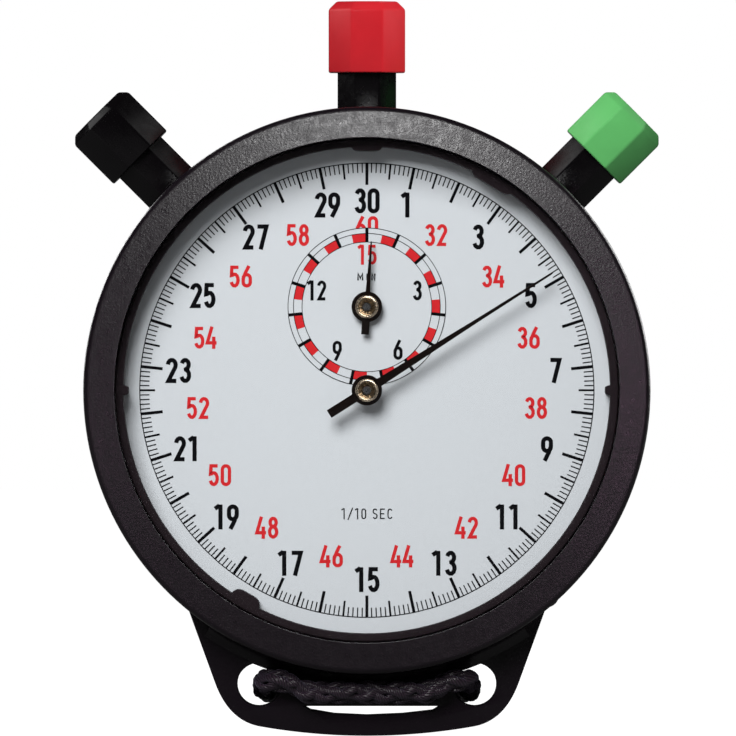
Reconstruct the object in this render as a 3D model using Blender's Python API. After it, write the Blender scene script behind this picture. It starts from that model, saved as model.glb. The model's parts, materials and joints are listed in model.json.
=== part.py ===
"""Three-button mechanical stopwatch, in millimetres here and scaled to metres when each piece is finished.

The face looks towards -Y, the crown points to +Z, and the origin is on the sweep-hand axis at the rear cover.
"""

import math

import bmesh
import bpy
from mathutils import Matrix, Vector

MM = 0.001

# Case and face
CASE_R = 27.5
BEZEL_R = 24.5
BORE_R = 25.2
FRONT_Y = -18.0
SHELF_Y = -12.85
CASE_BACK_Y = -1.25
COVER_R = 27.2
BUTTON_Y = -7.3
CROWN_POLAR, START_POLAR, RESET_POLAR = 90.0, 45.0, 135.0
SIDE_BUTTON_LIFT = 0.6

# Foot with the cord holes
FOOT_BACK_Y, FOOT_FRONT_Y = -4.5, -13.0
FOOT_BOTTOM_Z = -33.57
FOOT_BOTTOM_R = 60.0
CORD_HOLE = (10.5, -28.6)
CORD_HOLE_R = 2.1
CORD_R = 1.2

# Movement: plate, bridges and the axes of the train, as (x, z)
PLATE_R = 22.3
PLATE_Y = (-10.9, -9.4)
BRIDGE_Y = (-4.6, -3.4)
COCK_Y = (-4.4, -3.4)
SWEEP = (0.0, 0.0)
MINUTE = (0.0, 8.1)
BARREL = (10.0, 8.39)
THIRD = (5.52, 2.71)
ESCAPE = (-2.127, -5.845)
BALANCE = (-8.1, -10.3)
PALLET = (-4.61, -7.70)
CROWN_WHEEL = (0.0, 12.2)
INTERMEDIATE = (-1.138, 3.447)
CLICK = (17.9, 3.0)
START_LEVER = (20.38, 5.46)
BRAKE_LEVER = (-14.8, -14.8)
RESET_HAMMER = (-14.5, 4.0)
BARREL_PILLARS = ((-6.5, 16.5), (5.5, 17.5), (16.5, -3.5))
TRAIN_PILLARS = ((8.5, -8.0), (-9.5, -2.0), (1.5, -11.0))
COCK_PILLAR = (-4.5, -17.5)

# Hands, as shown: angles clockwise from the top
SECOND_ANGLE, MINUTE_ANGLE = 57.7, 3.9
SECOND_HAND_Y, MINUTE_HAND_Y = -14.9, -13.75

# Gears: teeth and module
FOURTH_TEETH, FOURTH_MODULE = 60, 0.187
THIRD_TEETH, THIRD_MODULE = 48, 0.2267
BARREL_TEETH, BARREL_MODULE = 54, 0.24
INTER_TEETH, INTER_MODULE = 30, 0.2
MINUTE_TEETH, MINUTE_MODULE = 36, 0.2267
LEAVES = 6
WINDING_MODULE, WINDING_PINION_MODULE = 0.35, 0.325
WINDING_TEETH, CROWN_WHEEL_TEETH, RATCHET_TEETH = 10, 27, 34

MATERIALS = {
    "case_black": ((0.022, 0.017, 0.021), 0.0, 0.5),
    "gloss_black": ((0.01, 0.01, 0.011), 0.0, 0.15),
    "red": ((0.56, 0.015, 0.03), 0.0, 0.3),
    "green": ((0.09, 0.45, 0.1), 0.0, 0.3),
    "glass": ((0.95, 0.97, 0.97), 0.0, 0.02),
    "dial_paint": ((0.68, 0.71, 0.73), 0.0, 0.55),
    "hand_lacquer": ((0.02, 0.013, 0.012), 0.0, 0.3),
    "brass": ((0.7, 0.48, 0.2), 1.0, 0.3),
    "gilt": ((0.62, 0.46, 0.24), 1.0, 0.4),
    "steel": ((0.6, 0.6, 0.61), 1.0, 0.25),
    "rubber": ((0.02, 0.02, 0.02), 0.0, 0.8),
    "cord": ((0.015, 0.012, 0.03), 0.0, 0.75),
}


# ---------------------------------------------------------------- helpers

def clear_scene():
    for obj in list(bpy.data.objects):
        bpy.data.objects.remove(obj)


def make_material(name):
    colour, metallic, roughness = MATERIALS[name]
    made = bpy.data.materials.new(name)
    made.use_nodes = True
    shader = made.node_tree.nodes["Principled BSDF"]
    shader.inputs["Base Color"].default_value = (*colour, 1.0)
    shader.inputs["Metallic"].default_value = metallic
    shader.inputs["Roughness"].default_value = roughness
    made.diffuse_color = (*colour, 1.0)
    return made


def shape(bm):
    """A temporary mesh object in millimetres with its faces turned outwards."""
    bmesh.ops.recalc_face_normals(bm, faces=bm.faces)
    mesh = bpy.data.meshes.new("shape")
    bm.to_mesh(mesh)
    bm.free()
    obj = bpy.data.objects.new("shape", mesh)
    bpy.context.scene.collection.objects.link(obj)
    return obj


def finish(name, obj, material, origin=(0.0, 0.0, 0.0), smooth=35.0):
    """Names the piece, moves its origin to a joint axis and scales it to metres."""
    place = Vector(origin)
    obj.data.transform(Matrix.Scale(MM, 4) @ Matrix.Translation(-place))
    obj.location = place * MM
    obj.name = name
    obj.data.name = name
    obj.data.materials.clear()
    obj.data.materials.append(make_material(material))
    obj.data.materials[0].name = f"{name}_{material}"
    obj.data.shade_smooth()
    obj.data.set_sharp_from_angle(angle=math.radians(smooth))
    return obj


def boolean(first, second, operation):
    """Joins to, or cuts from, the first shape, and removes the second."""
    modifier = first.modifiers.new("Boolean", "BOOLEAN")
    modifier.operation = operation
    modifier.solver = "EXACT"
    modifier.object = second
    bpy.context.view_layer.update()
    graph = bpy.context.evaluated_depsgraph_get()
    mesh = bpy.data.meshes.new_from_object(first.evaluated_get(graph))
    first.modifiers.clear()
    first.data = mesh
    bpy.data.objects.remove(second)
    return first


def join(first, *others):
    for other in others:
        first = boolean(first, other, "UNION")
    return first


def cut(first, *others):
    for other in others:
        first = boolean(first, other, "DIFFERENCE")
    return first


def prism(points, y0, y1):
    """Extrudes an outline of (x, z) points along Y."""
    bm = bmesh.new()
    rings = [[bm.verts.new((x, y, z)) for x, z in points] for y in (y0, y1)]
    bm.faces.new(rings[0])
    bm.faces.new(rings[1])
    for i in range(len(points)):
        j = (i + 1) % len(points)
        bm.faces.new((rings[0][i], rings[0][j], rings[1][j], rings[1][i]))
    return shape(bm)


def turned(profile, centre, axis, segments, start=0.0):
    """Turns a closed (radius, distance along the axis) profile about an axis through centre."""
    along = Vector(axis).normalized()
    side = along.cross(Vector((0.0, 1.0, 0.0)))
    side = side.normalized() if side.length > 0.1 else Vector((1.0, 0.0, 0.0))
    across = along.cross(side)
    base = Vector(centre)
    bm = bmesh.new()
    rings = []
    for radius, distance in profile:
        if radius == 0.0:
            rings.append([bm.verts.new(base + along * distance)] * segments)
            continue
        ring = []
        for i in range(segments):
            angle = start + 2.0 * math.pi * i / segments
            spoke = side * math.cos(angle) + across * math.sin(angle)
            ring.append(bm.verts.new(base + along * distance + spoke * radius))
        rings.append(ring)
    for k, ring in enumerate(rings):
        following = rings[(k + 1) % len(rings)]
        for i in range(segments):
            j = (i + 1) % segments
            corners = [ring[i], ring[j], following[j], following[i]]
            unique = [v for n, v in enumerate(corners) if v not in corners[:n]]
            if len(unique) > 2:
                bm.faces.new(unique)
    return shape(bm)


def disc(centre, radius, y0, y1, segments=16, hole=0.0):
    """A disc or, with a hole, a ring about the Y axis through (x, z)."""
    base = (centre[0], 0.0, centre[1])
    inner = [(hole, y0), (hole, y1)] if hole else [(0.0, y0), (0.0, y1)]
    profile = [inner[0], (radius, y0), (radius, y1), inner[1]]
    return turned(profile, base, (0.0, 1.0, 0.0), segments)


def stepped(centre, steps, segments=10):
    """A shaft about Y: steps are (radius, y0, y1), each starting where the last one ends."""
    profile = [(0.0, steps[0][1])]
    for radius, y0, y1 in steps:
        profile += [(radius, y0), (radius, y1)]
    profile.append((0.0, steps[-1][2]))
    return turned(profile, (centre[0], 0.0, centre[1]), (0.0, 1.0, 0.0), segments)


def polar(angle, radius, centre=(0.0, 0.0)):
    """A point at an angle in degrees, anticlockwise from +X."""
    turn = math.radians(angle)
    return (centre[0] + radius * math.cos(turn), centre[1] + radius * math.sin(turn))


def clockwise(angle, radius, centre=(0.0, 0.0)):
    """A point at an angle in degrees, clockwise from the top of the dial."""
    return polar(90.0 - angle, radius, centre)


def arc(start, end, radius, count, centre=(0.0, 0.0)):
    return [polar(start + (end - start) * i / (count - 1), radius, centre) for i in range(count)]


def direction(first, second):
    return math.degrees(math.atan2(second[1] - first[1], second[0] - first[0]))


def bar(first, second, width):
    """The outline of a straight bar between two points."""
    across = direction(first, second) + 90.0
    half = width / 2.0
    return [polar(across, half, first), polar(across, half, second),
            polar(across, -half, second), polar(across, -half, first)]


def gear_outline(teeth, module, phase, centre, tip=0.2, root=0.4):
    """Straight-sided teeth, with one tooth centred at the angle phase."""
    pitch = 360.0 / teeth
    tip_r = module * (teeth / 2.0 + 0.8)
    root_r = module * (teeth / 2.0 - 1.05)
    points = []
    for i in range(teeth):
        middle = phase + i * pitch
        points.append(polar(middle - root * pitch / 2.0, root_r, centre))
        points.append(polar(middle - tip * pitch / 2.0, tip_r, centre))
        points.append(polar(middle + tip * pitch / 2.0, tip_r, centre))
        points.append(polar(middle + root * pitch / 2.0, root_r, centre))
    return points


def meshing_phase(driver, driver_teeth, driver_phase, driven, driven_teeth):
    """The phase that puts a gap of the driven gear on the driver's tooth."""
    line = direction(driver, driven)
    lead = (driver_phase - line) * driver_teeth / driven_teeth
    return line + 180.0 - lead + 180.0 / driven_teeth


def swept(path, radius, sides, start=0.0):
    """A round or square bar along a path of points, capped at both ends."""
    points = [Vector(p) for p in path]
    bm = bmesh.new()
    rings = []
    tangent = (points[1] - points[0]).normalized()
    side = tangent.orthogonal().normalized()
    for i, point in enumerate(points):
        before = points[max(i - 1, 0)]
        after = points[min(i + 1, len(points) - 1)]
        turn = tangent.rotation_difference((after - before).normalized())
        tangent = (after - before).normalized()
        side = turn @ side
        across = tangent.cross(side)
        ring = []
        for k in range(sides):
            angle = start + 2.0 * math.pi * k / sides
            offset = side * math.cos(angle) + across * math.sin(angle)
            ring.append(bm.verts.new(point + offset * radius))
        rings.append(ring)
    bm.faces.new(rings[0])
    bm.faces.new(rings[-1])
    for first, second in zip(rings, rings[1:]):
        for k in range(sides):
            j = (k + 1) % sides
            bm.faces.new((first[k], first[j], second[j], second[k]))
    return shape(bm)


def octagon_radius(across_flats):
    return across_flats / 2.0 / math.cos(math.pi / 8.0)


def radial(angle):
    """The direction out of the case for a button at a polar angle."""
    x, z = polar(angle, 1.0)
    return (x, 0.0, z)


def button_centre(angle):
    """The point that a button's axis comes from: the side buttons' axes cross above the dial's centre."""
    lift = 0.0 if angle == CROWN_POLAR else SIDE_BUTTON_LIFT
    return Vector((0.0, BUTTON_Y, lift))


def button_part(profile, angle, segments, start=0.0):
    return turned(profile, button_centre(angle), radial(angle), segments, start)


def on_axis(centre, y=0.0):
    return (centre[0], y, centre[1])


# ---------------------------------------------------------------- case

def foot_outline():
    """One foot: wings from the round case, rounded corners and a shallow bottom arc."""
    middle_z = FOOT_BOTTOM_Z + FOOT_BOTTOM_R
    right = [polar(-51.0, 26.4), (17.3, -21.4), (14.8, -28.3), (14.3, -29.9), (13.2, -31.4)]
    for x in (11.0, 7.5, 3.8, 0.0):
        right.append((x, middle_z - math.sqrt(FOOT_BOTTOM_R ** 2 - x * x)))
    left = [(-x, z) for x, z in reversed(right[:-1])]
    return right + left + arc(-129.0, -51.0, 26.4, 11)[1:-1]


def build_front_case():
    profile = [(CASE_R, CASE_BACK_Y), (CASE_R, FRONT_Y + 0.8), (27.0, FRONT_Y + 0.15),
               (26.6, FRONT_Y), (BEZEL_R, FRONT_Y), (BEZEL_R, SHELF_Y), (BORE_R, SHELF_Y),
               (BORE_R, -1.65), (26.4, -1.65), (26.4, CASE_BACK_Y)]
    case = turned(profile, (0.0, 0.0, 0.0), (0.0, 1.0, 0.0), 48)
    case = join(case, prism(foot_outline(), FOOT_BACK_Y, FOOT_FRONT_Y))
    for side in (-1.0, 1.0):
        hole = (side * CORD_HOLE[0], CORD_HOLE[1])
        case = cut(case, disc(hole, CORD_HOLE_R, FOOT_FRONT_Y - 1.0, FOOT_BACK_Y + 1.0, 16))
    slot = [(-6.3, -30.9), (-6.3, -29.6), (-5.6, -29.0), (5.9, -29.0), (6.7, -29.6), (6.9, -31.0),
            (3.5, -31.45), (0.0, -31.6), (-3.4, -31.4)]
    case = cut(case, prism(slot, FOOT_FRONT_Y - 1.0, FOOT_BACK_Y + 1.0))
    for angle in (CROWN_POLAR, START_POLAR, RESET_POLAR):
        well = button_part([(0.0, 24.3), (3.25, 24.3), (3.25, 29.0), (0.0, 29.0)], angle, 16)
        case = cut(case, well)
    finish("front_case", case, "case_black")


def build_rear_cover():
    profile = [(0.0, 0.0), (26.8, 0.0), (COVER_R, -0.4), (COVER_R, -1.2), (25.0, -1.2),
               (25.0, -2.9), (23.6, -2.9), (23.6, -1.2), (0.0, -1.2)]
    cover = turned(profile, (0.0, 0.0, 0.0), (0.0, 1.0, 0.0), 40)
    tab = prism(bar(clockwise(138.75, 26.0), clockwise(138.75, 27.84), 1.9), -1.15, -0.1)
    finish("rear_cover", join(cover, tab), "gloss_black")
    finish("cover_gasket", disc(SWEEP, 26.3, -1.62, -1.28, 32, 25.4), "rubber")


def build_crystal():
    profile = [(0.0, -16.2), (24.4, -16.2), (24.4, -16.9), (18.0, -17.4), (9.0, -17.75), (0.0, -17.85)]
    finish("crystal", turned(profile, (0.0, 0.0, 0.0), (0.0, 1.0, 0.0), 40), "glass")


def ring_inner_radius(angle):
    """The lugs of the ring round the dial, at an angle clockwise from the top."""
    lugs = ((0.0, 1.45, 0.4), (30.9, 2.15, 0.44), (90.0, 0.5, 0.5), (210.0, 1.5, 0.8), (270.0, 0.5, 0.5))
    for middle, half_width, depth in lugs:
        away = abs((angle - middle + 180.0) % 360.0 - 180.0)
        away = math.radians(away) * 23.6 / half_width
        if away < 1.0:
            return 23.6 - depth * math.sqrt(1.0 - away ** 4)
    return 23.6


def build_dial_ring():
    angles = {7.5 * i for i in range(48)}
    for middle, half_width in ((0.0, 1.45), (30.9, 2.15), (90.0, 0.5), (210.0, 1.5), (270.0, 0.5)):
        span = math.degrees(half_width / 23.6)
        angles = {a for a in angles if abs((a - middle + 180.0) % 360.0 - 180.0) > span + 0.5}
        angles |= {(middle + span * share) % 360.0 for share in (-1.0, -0.9, -0.5, 0.5, 0.9, 1.0)}
    bm = bmesh.new()
    loops = []
    for angle in sorted(angles):
        inner = clockwise(angle, ring_inner_radius(angle))
        outer = clockwise(angle, 24.4)
        corners = ((inner, -12.95), (inner, -16.1), (outer, -16.1), (outer, -12.95))
        loops.append([bm.verts.new((p[0], y, p[1])) for p, y in corners])
    for first, second in zip(loops, loops[1:] + loops[:1]):
        for k in range(4):
            j = (k + 1) % 4
            bm.faces.new((first[k], first[j], second[j], second[k]))
    finish("dial_ring", shape(bm), "gloss_black")


def build_dial():
    dial = disc(SWEEP, 24.9, -12.8, -12.4, 40)
    dial = cut(dial, disc(SWEEP, 0.9, -13.5, -12.0, 12), disc(MINUTE, 0.9, -13.5, -12.0, 12))
    finish("dial", dial, "dial_paint")


def build_movement_ring():
    ring = disc(SWEEP, 24.9, -12.3, -3.0, 40, 22.75)
    for angle in (CROWN_POLAR, START_POLAR, RESET_POLAR):
        well = button_part([(0.0, 23.8), (3.3, 23.8), (3.3, 26.0), (0.0, 26.0)], angle, 16)
        hole = button_part([(0.0, 22.0), (1.6, 22.0), (1.6, 24.5), (0.0, 24.5)], angle, 10)
        ring = cut(ring, well, hole)
    finish("movement_ring", ring, "case_black")


# ---------------------------------------------------------------- buttons

def cap_profile(inner, outer, across, chamfer):
    """An octagonal cap with a chamfered end and a pocket for its stem."""
    full = octagon_radius(across)
    end = octagon_radius(across - 2.0 * chamfer)
    pocket = octagon_radius(5.8)
    return [(0.0, outer), (end, outer), (full, outer - chamfer), (full, inner), (pocket, inner),
            (pocket, 35.5), (0.0, 35.5)]


def build_stem(name, angle):
    outside = octagon_radius(5.7)
    profile = [(outside, 26.3), (outside, 35.4), (0.0, 35.4), (0.0, 31.6), (0.72, 31.6), (0.72, 26.3)]
    finish(name, button_part(profile, angle, 8, math.pi / 8.0), "gloss_black")


def build_tube(name, angle):
    profile = [(2.4, 23.85), (2.4, 24.1), (0.7, 24.1), (0.7, 22.65), (1.5, 22.65), (1.5, 23.85)]
    finish(name, button_part(profile, angle, 12), "brass")


def build_button_spring(name, angle, outer):
    out = Vector(radial(angle))
    side = Vector((0.0, 1.0, 0.0))
    across = out.cross(side)
    inner, turns, per_turn = 24.3, 2.5, 8
    path = []
    for i in range(int(turns * per_turn) + 1):
        turn = 2.0 * math.pi * i / per_turn
        reach = inner + (outer - inner) * i / (turns * per_turn)
        centre = button_centre(angle) + out * reach
        path.append(centre + (side * math.cos(turn) + across * math.sin(turn)) * 1.5)
    finish(name, swept(path, 0.14, 4), "steel")


def build_crown():
    cap = button_part(cap_profile(30.9, 37.85, 7.45, 0.8), CROWN_POLAR, 8, math.pi / 8.0)
    finish("crown_cap", cap, "red")
    build_stem("crown_stem", CROWN_POLAR)
    rod = [(0.0, 15.6), (0.55, 15.6), (0.55, 21.65), (1.3, 21.65), (1.3, 22.2), (0.55, 22.2),
           (0.55, 31.5), (0.0, 31.5)]
    finish("winding_stem", button_part(rod, CROWN_POLAR, 10), "steel")
    cup = [(0.72, 25.85), (2.3, 25.85), (2.3, 26.2), (0.72, 26.2)]
    finish("crown_thrust_cup", button_part(cup, CROWN_POLAR, 12), "brass")
    build_tube("crown_tube", CROWN_POLAR)
    build_button_spring("crown_spring", CROWN_POLAR, 25.65)


def build_push_button(prefix, angle, plunger_end, cap_material):
    cap = button_part(cap_profile(31.2, 37.2, 7.35, 0.7), angle, 8, math.pi / 8.0)
    finish(f"{prefix}_cap", cap, cap_material)
    build_stem(f"{prefix}_stem", angle)
    rod = [(0.0, plunger_end), (0.55, plunger_end), (0.55, 31.5), (0.0, 31.5)]
    finish(f"{prefix}_plunger", button_part(rod, angle, 10), "steel")
    build_tube(f"{prefix}_tube", angle)
    build_button_spring(f"{prefix}_spring", angle, 26.05)


# ---------------------------------------------------------------- hands

def hand_outline(tail, tail_width, hub, hub_width, tip, tip_width):
    """A hand along +Z: square tail, round hub and a blade that tapers to its tip."""
    half_hub = hub_width / 2.0
    half_tail = tail_width / 2.0
    top = math.degrees(math.asin(half_hub / hub))
    bottom = math.degrees(math.asin(half_tail / hub))
    right = arc(90.0 - top, bottom - 90.0, hub, 9)
    points = [(tip_width / 2.0, tip)] + right + [(half_tail, -tail)]
    return points + [(-x, z) for x, z in reversed(points)]


def turned_clockwise(points, angle, centre):
    turn = math.radians(angle)
    cos, sin = math.cos(turn), math.sin(turn)
    return [(centre[0] + x * cos + z * sin, centre[1] - x * sin + z * cos) for x, z in points]


def build_hand(prefix, outline, angle, centre, front_y, pivot_hole):
    blade = prism(turned_clockwise(outline, angle, centre), front_y, front_y + 0.25)
    blade = cut(blade, disc(centre, pivot_hole, front_y - 1.0, front_y + 1.0, 16))
    finish(prefix, blade, "hand_lacquer", on_axis(centre, front_y))
    profile = [(0.45, front_y - 0.4), (1.13, front_y - 0.4), (1.13, front_y - 0.04),
               (0.88, front_y - 0.04), (0.88, front_y + 0.6), (0.45, front_y + 0.6)]
    bush = turned(profile, on_axis(centre), (0.0, 1.0, 0.0), 12)
    finish(f"{prefix}_bush", bush, "brass", on_axis(centre, front_y))


def build_hands():
    second = hand_outline(4.34, 0.87, 1.48, 0.87, 21.4, 0.25)
    minute = hand_outline(2.7, 0.75, 1.49, 0.44, 6.4, 0.15)
    build_hand("second_hand", second, SECOND_ANGLE, SWEEP, SECOND_HAND_Y, 0.98)
    build_hand("minute_hand", minute, MINUTE_ANGLE, MINUTE, MINUTE_HAND_Y, 0.98)


# ---------------------------------------------------------------- cord

def build_cord():
    """The cord comes out of the ferrule, through one hole, across the foot and back through the other."""
    hole_x, low, high = 9.95, -29.35, -28.2
    front_y, back_y, bend, fall = -14.35, -2.6, 1.5, 3.0
    right = [(2.0, back_y, low), (hole_x - bend, back_y, low)]
    for i in (1, 2, 3):
        turn = math.pi * i / 6.0
        right.append((hole_x - bend + bend * math.sin(turn), back_y - bend + bend * math.cos(turn), low))
    right.append((hole_x, -9.0, (low + high) / 2.0))
    for i in (0, 1, 2, 3):
        turn = math.pi * i / 6.0
        right.append((hole_x - bend + bend * math.cos(turn), front_y + bend - bend * math.sin(turn), high))
    for share in (0.33, 0.67, 1.0):
        height = low + (high - low) * (0.5 + 0.5 * math.cos(math.pi * share))
        right.append((hole_x - bend - fall * share, front_y, height))
    path = right + [(0.0, front_y, low)] + [(-x, y, z) for x, y, z in reversed(right)]
    finish("lanyard_cord", swept(path, CORD_R, 10), "cord")
    profile = [(1.45, -1.8), (1.45, 1.8), (0.0, 1.8), (0.0, -1.8)]
    finish("cord_ferrule", turned(profile, (0.0, back_y, low), (1.0, 0.0, 0.0), 12), "gloss_black")


# ---------------------------------------------------------------- movement: fixed pieces

def build_main_plate():
    plate = disc(SWEEP, PLATE_R, *PLATE_Y, segments=48)
    holes = ((SWEEP, 0.55), (MINUTE, 0.55), (BARREL, 0.8), (THIRD, 0.35), (ESCAPE, 0.35),
             (PALLET, 0.32), (BALANCE, 0.32), (INTERMEDIATE, 0.4))
    for centre, radius in holes:
        plate = cut(plate, disc(centre, radius, -12.0, -8.5, 10))
    for centre, radius, top in ((START_LEVER, 0.6, -6.75), (BRAKE_LEVER, 0.6, -5.9), (RESET_HAMMER, 0.6, -8.4)):
        plate = join(plate, disc(centre, radius, -10.0, top, 10))
    finish("main_plate", plate, "gilt")


def build_bridge(name, outline, y_range, pillars, holes, pillar_r=1.1):
    bridge = prism(outline, *y_range)
    for centre in pillars:
        bridge = join(bridge, disc(centre, pillar_r, PLATE_Y[1] + 0.03, y_range[0] + 0.5, 12))
    for centre, radius in holes:
        bridge = cut(bridge, disc(centre, radius, y_range[0] - 1.0, y_range[1] + 1.0, 10))
    return bridge


def build_bridges():
    barrel = [(-8.6, 18.0), (-8.6, 14.4), (-5.4, 7.6), (1.2, 6.2), (7.4, 5.0), (8.2, 2.4), (13.8, -5.4),
              (18.6, -5.4), (20.0, 0.0), (20.0, 5.0), (18.2, 9.4), (14.2, 14.4), (8.0, 19.0), (3.0, 20.0),
              (-3.0, 20.0)]
    made = build_bridge("barrel_bridge", barrel, BRIDGE_Y, BARREL_PILLARS, ((BARREL, 0.8), (CROWN_WHEEL, 0.8)))
    made = join(made, disc(CLICK, 0.5, -5.7, -4.2, 10))
    finish("barrel_bridge", made, "gilt")
    train = [(-11.4, -0.6), (-10.6, -3.8), (-3.6, -9.0), (0.0, -12.8), (3.2, -12.8), (10.4, -9.4),
             (10.6, -6.4), (7.6, 1.8), (6.6, 4.4), (4.4, 4.8), (-1.0, 2.2)]
    holes = ((SWEEP, 0.35), (THIRD, 0.35), (ESCAPE, 0.35))
    finish("train_bridge", build_bridge("train_bridge", train, BRIDGE_Y, TRAIN_PILLARS, holes), "gilt")
    across = direction(ESCAPE, BALANCE) + 90.0
    feet = (polar(across, 3.4, PALLET), polar(across, -3.4, PALLET))
    ends = (polar(across, 4.1, PALLET), polar(across, -4.1, PALLET))
    pallet = build_bridge("pallet_bridge", bar(*ends, 1.5), (-6.95, -6.55), feet, ((PALLET, 0.32),), 0.7)
    finish("pallet_bridge", pallet, "gilt")
    cock = bar(polar(116.6, -1.9, COCK_PILLAR), polar(116.6, 1.6, BALANCE), 3.2)
    made = build_bridge("balance_cock", cock, COCK_Y, (COCK_PILLAR,), ((BALANCE, 0.4),), 1.4)
    finish("balance_cock", made, "gilt")


def build_screw(name, centre):
    """A cheese-head screw standing on a bridge over its pillar."""
    top = BRIDGE_Y[1] + 0.03
    head = disc(centre, 0.95, top, top + 0.55, 12)
    slot = prism(bar(polar(30.0, -1.2, centre), polar(30.0, 1.2, centre), 0.3), top + 0.3, top + 1.0)
    finish(name, cut(head, slot), "steel")


def build_screws():
    build_screw("barrel_bridge_screw_left", BARREL_PILLARS[0])
    build_screw("barrel_bridge_screw_right", BARREL_PILLARS[2])
    build_screw("train_bridge_screw", TRAIN_PILLARS[0])
    build_screw("balance_cock_screw", COCK_PILLAR)


# ---------------------------------------------------------------- movement: power and winding

def build_barrel():
    wall = [(0.85, -9.0), (6.1, -9.0), (6.1, -6.4), (5.6, -6.4), (5.6, -8.4), (0.85, -8.4)]
    drum = turned(wall, on_axis(BARREL), (0.0, 1.0, 0.0), 24)
    phase = direction(BARREL, THIRD)
    teeth = prism(gear_outline(BARREL_TEETH, BARREL_MODULE, phase, BARREL), -8.95, -8.45)
    drum = cut(join(drum, teeth), disc(BARREL, 0.84, -9.5, -8.0, 12))
    finish("barrel_drum", drum, "brass", on_axis(BARREL, -7.7))
    finish("barrel_cover", disc(BARREL, 5.4, -6.72, -6.42, 20, 0.85), "brass", on_axis(BARREL, -6.6))
    spiral = []
    for i in range(37):
        x, z = polar(i * 30.0, 2.3 + 2.9 * i / 36.0, BARREL)
        spiral.append((x, -7.6, z))
    finish("mainspring", ribbon(spiral, 0.12, 1.2), "steel", on_axis(BARREL, -7.7))
    shaft = stepped(BARREL, [(0.3, -9.9, -9.3), (0.7, -9.3, -8.25), (1.4, -8.25, -6.9), (0.7, -6.9, -4.0)], 10)
    finish("barrel_arbor", shaft, "steel", on_axis(BARREL, -7.0))


def ribbon(path, thickness, height):
    """A flat strip on edge along a path in a plane of constant Y."""
    bm = bmesh.new()
    loops = []
    for i, point in enumerate(path):
        before = Vector(path[max(i - 1, 0)])
        after = Vector(path[min(i + 1, len(path) - 1)])
        along = (after - before).normalized()
        normal = along.cross(Vector((0.0, 1.0, 0.0))) * thickness / 2.0
        up = Vector((0.0, height / 2.0, 0.0))
        centre = Vector(point)
        corners = (centre - normal - up, centre + normal - up, centre + normal + up, centre - normal + up)
        loops.append([bm.verts.new(c) for c in corners])
    bm.faces.new(loops[0])
    bm.faces.new(loops[-1])
    for first, second in zip(loops, loops[1:]):
        for k in range(4):
            j = (k + 1) % 4
            bm.faces.new((first[k], first[j], second[j], second[k]))
    return shape(bm)


def build_winding():
    crown_phase = 90.0
    wheel = prism(gear_outline(CROWN_WHEEL_TEETH, WINDING_MODULE, crown_phase, CROWN_WHEEL), -5.5, -5.0)
    hub = stepped(CROWN_WHEEL, [(1.2, -5.7, -4.75), (0.65, -4.75, -3.9)], 12)
    finish("crown_wheel", join(wheel, hub), "steel", on_axis(CROWN_WHEEL, -5.25))
    phase = meshing_phase(CROWN_WHEEL, CROWN_WHEEL_TEETH, crown_phase, BARREL, RATCHET_TEETH)
    ratchet = prism(gear_outline(RATCHET_TEETH, WINDING_MODULE, phase, BARREL), -5.5, -5.0)
    ratchet = cut(ratchet, disc(BARREL, 0.8, -6.0, -4.5, 10))
    finish("ratchet_wheel", ratchet, "steel", on_axis(BARREL, -5.25))
    beak = direction(BARREL, CLICK)
    body = [polar(beak + 34.0, 6.32, BARREL), polar(beak + 31.0, 7.3, BARREL), polar(beak + 8.0, 10.5, BARREL),
            polar(beak - 7.0, 10.9, BARREL), polar(beak - 9.0, 8.6, BARREL), polar(beak + 6.0, 7.9, BARREL)]
    click = cut(prism(body, -5.5, -5.0), disc(CLICK, 0.56, -6.0, -4.5, 10))
    finish("click", click, "steel", on_axis(CLICK, -5.25))
    build_winding_pinion()


def build_winding_pinion():
    """Stands on the winding stem and turns the crown wheel, with its gap on the wheel's top tooth."""
    outline = gear_outline(WINDING_TEETH, WINDING_PINION_MODULE, 90.0 + 180.0 / WINDING_TEETH, SWEEP)
    pinion = prism(outline, 0.0, 1.45)
    pinion = cut(pinion, disc(SWEEP, 0.66, -1.0, 3.0, 12))
    pinion.data.transform(Matrix.Rotation(math.radians(90.0), 4, "X"))
    pinion.data.transform(Matrix.Translation((0.0, BUTTON_Y, 16.92)))
    finish("winding_pinion", pinion, "steel", (0.0, BUTTON_Y, 17.5))


# ---------------------------------------------------------------- movement: going train

def wheel_and_pinion(centre, wheel, pinion, shaft):
    """Wheel and pinion are (teeth, module, phase, y0, y1); shaft is a list of steps."""
    made = stepped(centre, shaft, 8)
    for teeth, module, phase, y0, y1 in (wheel, pinion):
        made = join(made, prism(gear_outline(teeth, module, phase, centre), y0, y1))
    return made


def crossings(obj, centre, count, radius, size, y0, y1):
    """Cuts round windows that leave spokes between them."""
    for i in range(count):
        obj = cut(obj, disc(polar(360.0 * i / count, radius, centre), size, y0, y1, 6))
    return obj


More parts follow.
